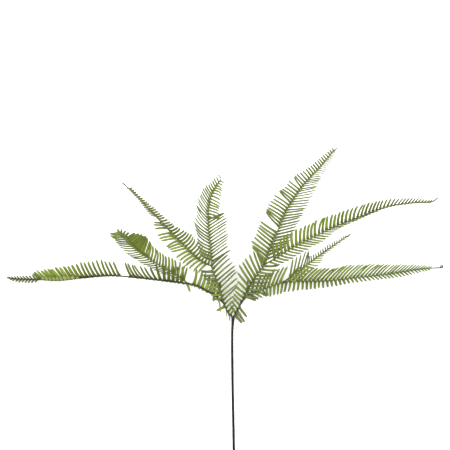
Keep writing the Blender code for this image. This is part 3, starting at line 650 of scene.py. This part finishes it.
def grow(name, tree, chains, blades, material, settings=None):
    # chains: lists of (point, radius, age); blades: dictionaries from bladeOf
    points, edges, radii, ages = [], [], [], []
    for chain in chains:
        for index, (point, radius, age) in enumerate(chain):
            if index:
                edges.append((len(points) - 1, len(points)))
            points.append(point)
            radii.append(radius * mm)
            ages.append(age)
    firstBlade = len(points)
    points += [b["root"] for b in blades]
    points = (np.array(points) + forkAt) * mm
    mesh = bpy.data.meshes.new(name)
    mesh.from_pydata([tuple(p) for p in points], edges, [])
    blank = [0.0] * firstBlade
    none = [(0.0, 0.0, 0.0)] * firstBlade
    carried(mesh, "blade", blank + [1.0] * len(blades))
    carried(mesh, "ribRadius", radii + [0.0] * len(blades))
    carried(mesh, "age", ages + [b["age"] for b in blades])
    for key, scale in (("halfWidth", mm), ("hook", mm), ("tone", 1), ("dry", 1)):
        carried(mesh, key, blank + [b[key] * scale for b in blades])
    for key in ("bendAt", "tipAt"):
        carried(mesh, key, none + [tuple((b[key] + forkAt) * mm) for b in blades], "FLOAT_VECTOR")
    for key in ("sideways", "upward"):
        carried(mesh, key, none + [tuple(b[key]) for b in blades], "FLOAT_VECTOR")
    piece = bpy.data.objects.new(name, mesh)
    bpy.context.scene.collection.objects.link(piece)
    modifier = piece.modifiers.new("comb", "NODES")
    modifier.node_group = tree
    values = {**bladeSettings, **(settings or {}), "Material": material}
    for item in tree.interface.items_tree:
        if item.in_out == "INPUT" and item.name in values:
            modifier[item.identifier] = values[item.name]
    graph = bpy.context.evaluated_depsgraph_get()
    finished = bpy.data.meshes.new_from_object(piece.evaluated_get(graph), depsgraph=graph)
    piece.modifiers.clear()
    piece.data = finished
    bpy.data.meshes.remove(mesh)
    return piece


def bladeOf(root, middle, tip, halfWidth, age, tone, hook=0.0, dry=0.0, roll=0.0, towards=None):
    # a blade lies with its flat side up, rolled a little about its own length
    bendAt = 2 * middle - 0.5 * (root + tip)
    ahead = unit(tip - root)
    level = unit(np.array([-ahead[1], ahead[0], 0.0]))
    if towards is not None and level @ towards < 0:
        level = -level
    upward = np.cross(level, ahead)
    if upward[2] < 0:
        upward = -upward
    sideways = level * math.cos(roll) + upward * math.sin(roll)
    upward = upward * math.cos(roll) - level * math.sin(roll)
    if np.cross(sideways, upward) @ ahead < 0:  # a mirrored blade would be inside out
        sideways, hook = -sideways, -hook
    return {"root": root, "bendAt": bendAt, "tipAt": tip, "sideways": sideways, "upward": upward,
            "halfWidth": halfWidth, "hook": hook, "age": age, "tone": tone, "dry": dry}


def clingTogether(planned, clumps):
    for low, high, side, strength in clumps:
        group = [p for p in planned if low <= p["t"] <= high and p["side"] == side]
        if group:
            meeting = group[-1]["tip"]
            for p in group:
                way = strength * (meeting - p["tip"])
                p["tip"] = p["tip"] + way
                p["middle"] = p["middle"] + 0.35 * way


def colourAt(red, green, blue):
    # the colour of a screen value from 0 to 255, as light
    screen = (red / 255, green / 255, blue / 255)
    return (*(((c + 0.055) / 1.055) ** 2.4 if c > 0.04 else c / 12.92 for c in screen), 1)


def newMaterial(name):
    material = bpy.data.materials.new(name)
    material.use_nodes = True
    tree = material.node_tree
    tree.nodes.clear()
    shader = tree.nodes.new("ShaderNodeBsdfPrincipled")
    output = tree.nodes.new("ShaderNodeOutputMaterial")
    tree.links.new(shader.outputs[0], output.inputs[0])
    w = Wire(tree)
    return material, shader, w, w.make("ShaderNodeTexCoord", out=3)


def feed(w, shader, colour, roughness=None, height=None, strength=0.5, depth=0.1 * mm):
    sockets = {"Base Color": colour, "Roughness": roughness}
    if height:
        bump = {"Strength": strength, "Distance": depth, "Height": height}
        sockets["Normal"] = w.make("ShaderNodeBump", None, bump)
    for name, value in sockets.items():
        if value:
            w.tree.links.new(value.socket, shader.inputs[name])


leafFinish = {
    "deep": colourAt(50, 60, 14),
    "middle": colourAt(84, 98, 22),
    "bright": colourAt(124, 138, 34),
    "under": colourAt(104, 116, 66),
    "vein": colourAt(134, 146, 54),
    "dryTip": colourAt(92, 86, 48),
    "ribBase": colourAt(30, 29, 16),
    "ribTip": colourAt(86, 99, 30),
    "mottle": 260.0,
    "patches": 38.0,
    "sideVeins": 34,
    "veinSlant": 2.2,
    "veinTurn": 6.283,  # radians from one side vein to the next
}


def leafMaterial():
    material, shader, w, place = newMaterial("frond_green")
    look = leafFinish
    tone, along, across, through, age, ribness, dry = (
        w.make("ShaderNodeAttribute", {"attribute_name": name}, out=2)
        for name in ("tone", "along", "across", "through", "age", "ribness", "dry")
    )
    mottle, patches = place.noise(look["mottle"], 3.0), place.noise(look["patches"], 2.0)
    shade = tone + (mottle - 0.5) * 0.5 + (patches - 0.5) * 0.35
    green = w.plain(look["deep"]).blended(shade.between(0.0, 0.5), look["middle"])
    green = green.blended(shade.between(0.5, 1.0), look["bright"])
    # fine side veins slant away from the middle vein
    edge = w.maths("ABSOLUTE", across)
    slant = w.maths("SINE", (along * look["sideVeins"] - edge * look["veinSlant"]) * look["veinTurn"])
    sideVein = w.maths("MAXIMUM", slant, 0.0) ** 3
    green = green.blended(sideVein * 0.16, look["vein"])
    midVein = edge.between(0.30, 0.05, interpolation_type="SMOOTHSTEP")
    green = green.blended(midVein * 0.35, look["vein"])
    # painted shade: darker where the blade leaves the rib, and towards its margins
    green = green.blended(along.between(0.22, 0.0) * 0.45, look["deep"])
    green = green.blended(edge.between(0.7, 1.0) * 0.28, look["deep"])
    # paler below, and dry at some tips
    green = green.blended(through.between(-0.2, -0.5) * (1 - ribness) * 0.75, look["under"])
    green = green.blended((along + dry * 0.2).between(0.97, 1.08) * dry, look["dryTip"])
    # the rib, brown near the forks and green towards the tip
    ageing = (age + (patches - 0.5) * 0.3).between(0.05, 0.35)
    stalk = w.plain(look["ribBase"]).blended(ageing, look["ribTip"])
    stalk = stalk.blended((mottle - 0.3) * 0.5, look["ribBase"])
    stalk = stalk.blended(age.between(0.95, 0.975) * 0.85, look["ribBase"])
    height = sideVein * 0.4 * (1 - ribness) + mottle * 0.5 + midVein * (1 - ribness) * -0.8
    feed(w, shader, green.blended(ribness, stalk), 0.42 + mottle * 0.22 + ribness * 0.1, height)
    shader.inputs["Subsurface Weight"].default_value = 0.12
    shader.inputs["Subsurface Radius"].default_value = (0.6, 1.0, 0.3)
    shader.inputs["Subsurface Scale"].default_value = 0.001
    shader.inputs["Specular IOR Level"].default_value = 0.32
    return material


stemFinish = {
    "black": colourAt(16, 14, 12),
    "dark": colourAt(17, 16, 13),
    "middle": colourAt(34, 33, 27),
    "pale": colourAt(70, 66, 56),
    "scale": colourAt(52, 40, 26),
    "pith": colourAt(178, 160, 118),
    "streaks": 1400.0,
    "stretch": 0.06,
    "patches": 70.0,
    "specks": 2200.0,
    "scaleGrain": 1100.0,
    "fibres": 5200.0,
}


def stemMaterial():
    material, shader, w, place = newMaterial("stipe_brown")
    look = stemFinish
    stretch = {"Vector": place, "Scale": (1.0, look["stretch"], 1.0)}
    streak = w.make("ShaderNodeMapping", None, stretch).noise(look["streaks"], 4.0)
    patch, speck = place.noise(look["patches"], 3.0), place.noise(look["specks"], 2.0)
    stops = [(0.25, look["dark"]), (0.72, look["middle"]), (0.9, look["pale"])]
    brown = w.make("ShaderNodeValToRGB", {"stops": stops}, {0: streak * 0.6 + patch * 0.4})
    brown = brown.blended(speck.between(0.62, 0.72) * 0.5, look["pale"])
    # the rind is nearly black from a hand's breadth below the first fork
    length = w.make("ShaderNodeSeparateXYZ", None, {0: place}, out=1)
    brown = brown.blended(length.between(-0.01, -0.11) * 0.8, look["black"])
    feed(w, shader, brown, 0.55 + patch * 0.3, streak + speck * 0.4, strength=0.6, depth=0.15 * mm)
    shader.inputs["Specular IOR Level"].default_value = 0.1
    return material


def scaleMaterial():
    material, shader, w, place = newMaterial("bud_scale_brown")
    look = stemFinish
    grain = place.noise(look["scaleGrain"], 3.0)
    along = w.make("ShaderNodeAttribute", {"attribute_name": "along"}, out=2)
    brown = w.plain(look["scale"]).blended(grain * 0.6, look["dark"]).blended(along * 0.35, look["pale"])
    feed(w, shader, brown, 0.55 + grain * 0.25, grain)
    return material


def pithMaterial():
    material, shader, w, place = newMaterial("cut_pith")
    look = stemFinish
    fibres = w.make("ShaderNodeTexVoronoi", None, {"Vector": place, "Scale": look["fibres"]})
    tan = w.plain(look["pith"]).blended(w.maths("MINIMUM", fibres * 0.9, 0.7), look["middle"])
    feed(w, shader, tan, 0.8 + fibres * 0.1, fibres)
    return material


def floorMaterial():
    material, shader, w, place = newMaterial("pale_surface")
    grain = place.noise(6.0, 2.0)
    feed(w, shader, w.plain((0.92, 0.92, 0.92, 1)).blended(grain * 0.1, (0.9, 0.9, 0.905, 1)))
    shader.inputs["Roughness"].default_value = 0.9
    shader.inputs["Specular IOR Level"].default_value = 0.1
    return material


def finish(piece, slotName, *nodes):
    if nodes:
        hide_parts(*nodes)
    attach(piece, "root")
    return piece


ribLook = {"share": 0.98, "least": 0.84, "step": 1.6, "swelling": 0.3, "swellingLength": 2.5,
           "coilEnd": 0.4, "coilSteps": 14, "coilRise": 0.15, "coilTightening": 0.6}
bladeLook = {"share": 0.342, "most": 2.2, "leastSine": 0.38, "sink": 0.7, "roll": 14,
             "widthJitter": (0.92, 1.06), "toneJitter": 0.14, "hookJitter": (0.3, 1.2), "fullHook": 25,
             "dryOnes": 0.12, "dryness": (0.25, 1.0), "seed": 23}


def ribRadiusAt(rib, s, swellings):
    radius = max(rib.halfWidth(s) * ribLook["share"], ribLook["least"])
    for at in swellings:
        radius *= 1 + ribLook["swelling"] * math.exp(-((s - at) / ribLook["swellingLength"]) ** 2)
    return radius


def coilOf(rib, turns, radius):
    # the curled end of a young branch: it winds inwards from where the rib stops
    place, ahead = rib.point(rib.length), rib.tangent(rib.length)
    heading, made = math.atan2(ahead[1], ahead[0]), []
    steps = int(turns * ribLook["coilSteps"])
    turn = 2 * math.pi / ribLook["coilSteps"]
    for k in range(steps):
        share = k / steps
        heading += turn
        bend = radius * (1 - ribLook["coilTightening"] * share)
        place = place + np.array([math.cos(heading), math.sin(heading), ribLook["coilRise"]]) * bend * turn
        thick = ribLook["least"] + (ribLook["coilEnd"] - ribLook["least"]) * share
        made.append((place, thick, 1.0))
    return made


def makeBranches(tree, material):
    ribs = {name: Rib(branch["route"]) for name, branch in branches.items()}
    draw = random.Random(leafletRule["seed"])
    looksDraw = random.Random(bladeLook["seed"])
    little, much = bladeLook["dryness"]
    taken = []
    for name, branch in branches.items():
        rib = ribs[name]
        look = {**usualRib, **branchLooks[name]}
        parent, side = branch["parent"]
        others = {s: obstacles(name, s, ribs, taken) for s in (left, right)}
        first = forkStart(rib, parent, ribs.get(parent), side) + leafletRule["bareFoot"]
        planned = planLeaflets(branch, rib, first, others, draw)
        taken += [leafletLine(p["root"], p["middle"], p["tip"]) for p in planned]
        clingTogether(planned, look["clumps"])
        swellings = [rib.nearest(r.point(0)) for key, r in ribs.items() if branches[key]["parent"][0] == name]
        places = [*np.arange(0, rib.length - ribLook["step"] / 2, ribLook["step"]), rib.length]
        chain = [(rib.point(s), look["ribStout"] * ribRadiusAt(rib, s, swellings),
                  np.interp(s, (0, rib.length), look["ages"])) for s in places]
        chain += coilOf(rib, *look["coil"])
        blades = []
        for p in planned:
            row = 0 if p["side"] == left else 1
            tone, hook, wide = (keyed(look[key], p["t"])[row] for key in ("tone", "hook", "wide"))
            inward = -p["side"] * rib.leftward(p["at"]) * rib.halfWidth(p["at"]) * bladeLook["sink"]
            long = np.linalg.norm(p["tip"] - p["root"])
            ahead = unit((p["tip"] - p["root"]) * (1, 1, 0))
            lean = unit(rib.tangent(p["at"]) * (1, 1, 0))
            sine = max(bladeLook["leastSine"], abs(lean[0] * ahead[1] - lean[1] * ahead[0]))
            roll = math.radians(looksDraw.uniform(-1, 1) * bladeLook["roll"])
            blades.append(bladeOf(
                p["root"] + inward, p["middle"], p["tip"],
                halfWidth=min(bladeLook["share"] * wide * sine * p["pitch"], bladeLook["most"])
                * looksDraw.uniform(*bladeLook["widthJitter"]),
                age=p["t"], tone=tone + looksDraw.uniform(-1, 1) * bladeLook["toneJitter"],
                hook=(hook * looksDraw.uniform(*bladeLook["hookJitter"])
                      * min(1, long / bladeLook["fullHook"])),
                dry=much if looksDraw.random() < bladeLook["dryOnes"] else little,
                roll=roll if sine > bladeLook["leastSine"] else 0.0, towards=lean,
            ))
        piece = grow(name + "_leaflets", tree, [chain], blades, material)
        finish(piece, "leaf", name)
        print(name, len(blades), "leaflets", len(piece.data.polygons), "faces")
    return ribs


stemLook = {"sides": 20, "seed": 3, "unevenness": 0.015, "lowest": 1.6, "pressed": 0.1,
            "stout": 1.13, "stoutFrom": -60, "slimNeck": 0.97, "neckFrom": -10}
stemRoute = [
    (3, -246, 1.50), (2.6, -230, 1.55), (2, -210, 1.55), (1.2, -185, 1.55), (0.6, -155, 1.5),
    (0, -125, 1.5), (-0.6, -92, 1.5), (-1, -60, 1.55), (-1.2, -35, 1.6), (-1, -18, 1.7),
    (-0.5, -8, 1.9), (-0.1, -3, 2.15), (0, 0, 2.2), (0.2, 1.6, 1.6), (0.3, 2.4, 0.7),
]


def makeStem(tree, material):
    route = smoothRoute([(x, y, radius) for x, y, radius in stemRoute], steps=16)
    draw = random.Random(stemLook["seed"])
    uneven = stemLook["unevenness"]
    chain = []
    for x, y, radius in route:
        stout = np.interp(y, (stemLook["stoutFrom"], stemLook["neckFrom"]),
                          (stemLook["stout"], stemLook["slimNeck"]))
        radius *= stout * draw.uniform(1 - uneven, 1 + uneven)
        height = max(radius, stemLook["lowest"]) - stemLook["pressed"]
        chain.append((np.array([x, y, height]), radius, 0.0))
    piece = grow("stipe_stem", tree, [chain], [], material, {"Rib sides": stemLook["sides"]})
    finish(piece, "stem", "stipe")
    print("stem", len(piece.data.polygons), "faces")


budLook = {
    "firstFork": ((0.0, 0.5, 3.2), 1.3),  # place and size
    "laterForks": ((0.0, 0.0, 0.8), 0.9),  # place from the branch's foot, and size
    "core": (0.45, 0.85, 0.8, 0.35),
    "coreStep": 0.6,
    "scales": 9,
    "long": (3.0, 5.2),
    "longShare": 0.75,
    "tilt": (0.25, 0.9),
    "halfWidth": 0.62,
    "seed": 41,
    "blades": {"Blade segments": 5, "Root flare": 0.1, "Point": 1.8, "Thickness": 0.16 * mm},
}


def makeBuds(tree, material, ribs):
    draw = random.Random(budLook["seed"])
    blades, cores = [], []
    firstAt, firstSize = budLook["firstFork"]
    above, laterSize = budLook["laterForks"]
    forks = [(np.array(firstAt), firstSize)]
    forks += [(r.point(0) + above, laterSize) for key, r in ribs.items() if branches[key]["parent"][0]]
    for centre, size in forks:
        cores.append([(centre + np.array([0, (k - 1.5) * size * budLook["coreStep"], 0]), size * r, 0.0)
                      for k, r in enumerate(budLook["core"])])
        for index in range(budLook["scales"]):
            around = 2 * math.pi * index / budLook["scales"] + draw.uniform(-0.2, 0.2)
            tilt = draw.uniform(*budLook["tilt"])
            way = unit(np.array([math.cos(around), math.sin(around) * 0.7 + 0.5, tilt]))
            long = draw.uniform(*budLook["long"]) * size * budLook["longShare"]
            root = centre + way * 0.3 * size
            tip = centre + way * long
            middle = (root + tip) / 2 + np.array([0, 0, 0.25 * size])
            blades.append(bladeOf(root, middle, tip, budLook["halfWidth"] * size, 0.0, draw.random()))
    piece = grow("fork_buds", tree, cores, blades, material, budLook["blades"])
    finish(piece, "stem")
    print("buds", len(piece.data.polygons), "faces")


cutLook = {"radius": 1.6, "narrowing": 0.96, "depth": 0.12, "edge": 0.02, "proud": 0.03, "sides": 28}


def makeCutFace(material):
    x, y, _ = stemRoute[0]
    xNext, yNext, _ = stemRoute[1]
    outward = Vector((x - xNext, y - yNext, 0)).normalized()
    bm = bmesh.new()
    wide = cutLook["radius"] * mm
    bmesh.ops.create_cone(bm, cap_ends=True, segments=cutLook["sides"], radius1=wide,
                          radius2=wide * cutLook["narrowing"], depth=cutLook["depth"] * mm)
    bmesh.ops.bevel(bm, geom=[e for e in bm.edges if e.calc_face_angle(0) > 1],
                    offset=cutLook["edge"] * mm, segments=2, affect="EDGES")
    bm.transform(outward.to_track_quat("Z", "Y").to_matrix().to_4x4())
    centre = (np.array([x, y, cutLook["radius"]]) + forkAt) * mm
    bmesh.ops.translate(bm, vec=Vector(centre) + outward * cutLook["proud"] * mm, verts=bm.verts)
    mesh = bpy.data.meshes.new("stem_cut_face")
    bm.to_mesh(mesh)
    bm.free()
    mesh.materials.append(material)
    piece = bpy.data.objects.new("stem_cut_face", mesh)
    bpy.context.scene.collection.objects.link(piece)
    finish(piece, "stem")
    print("cut face", len(mesh.polygons), "faces")


viewSettings = {"span": 0.63, "height": 6.0, "sensor": 36.0, "middle": (0.0013, 0.1346)}


def makeCamera():
    data = bpy.data.cameras.new("overhead")
    data.sensor_width = viewSettings["sensor"]
    data.lens = viewSettings["sensor"] * viewSettings["height"] / viewSettings["span"]
    data.clip_end = 50
    camera = bpy.data.objects.new("overhead", data)
    camera.location = (*viewSettings["middle"], viewSettings["height"])
    bpy.context.scene.collection.objects.link(camera)
    bpy.context.scene.camera = camera


lightSettings = [
    # name, place, size, watts
    ("softbox_left", (-1.3, 1.1, 1.7), 1.0, 60.0),
    ("softbox_right", (1.4, 0.3, 1.8), 1.4, 30.0),
    ("softbox_top", (0.0, 0.1, 3.0), 2.4, 60.0),
]
studioSettings = {"surface": 14, "aim": (0, 0.1, 0.03), "daylight": 0.75}


def makeStudio(material):
    bpy.ops.mesh.primitive_plane_add(size=studioSettings["surface"], location=(0, 0, 0))
    floor = bpy.context.object
    floor.name = "surface"
    floor.data.transform(floor.matrix_world)
    floor.matrix_world.identity()
    floor.data.materials.append(material)
    for name, place, size, watts in lightSettings:
        data = bpy.data.lights.new(name, "AREA")
        data.shape = "SQUARE"
        data.size = size
        data.energy = watts
        lamp = bpy.data.objects.new(name, data)
        lamp.location = place
        aim = Vector(studioSettings["aim"]) - Vector(place)
        lamp.rotation_euler = aim.to_track_quat("-Z", "Y").to_euler()
        bpy.context.scene.collection.objects.link(lamp)
    world = bpy.data.worlds.new("studio")
    world.use_nodes = True
    world.node_tree.nodes["Background"].inputs[0].default_value = (1, 1, 1, 1)
    world.node_tree.nodes["Background"].inputs[1].default_value = studioSettings["daylight"]
    bpy.context.scene.world = world


bpy.context.scene.view_settings.view_transform = "Standard"
makeCamera()
makeStudio(floorMaterial())
comb = combTree()
ribs = makeBranches(comb, leafMaterial())
makeStem(comb, stemMaterial())
makeBuds(comb, scaleMaterial(), ribs)
makeCutFace(pithMaterial())
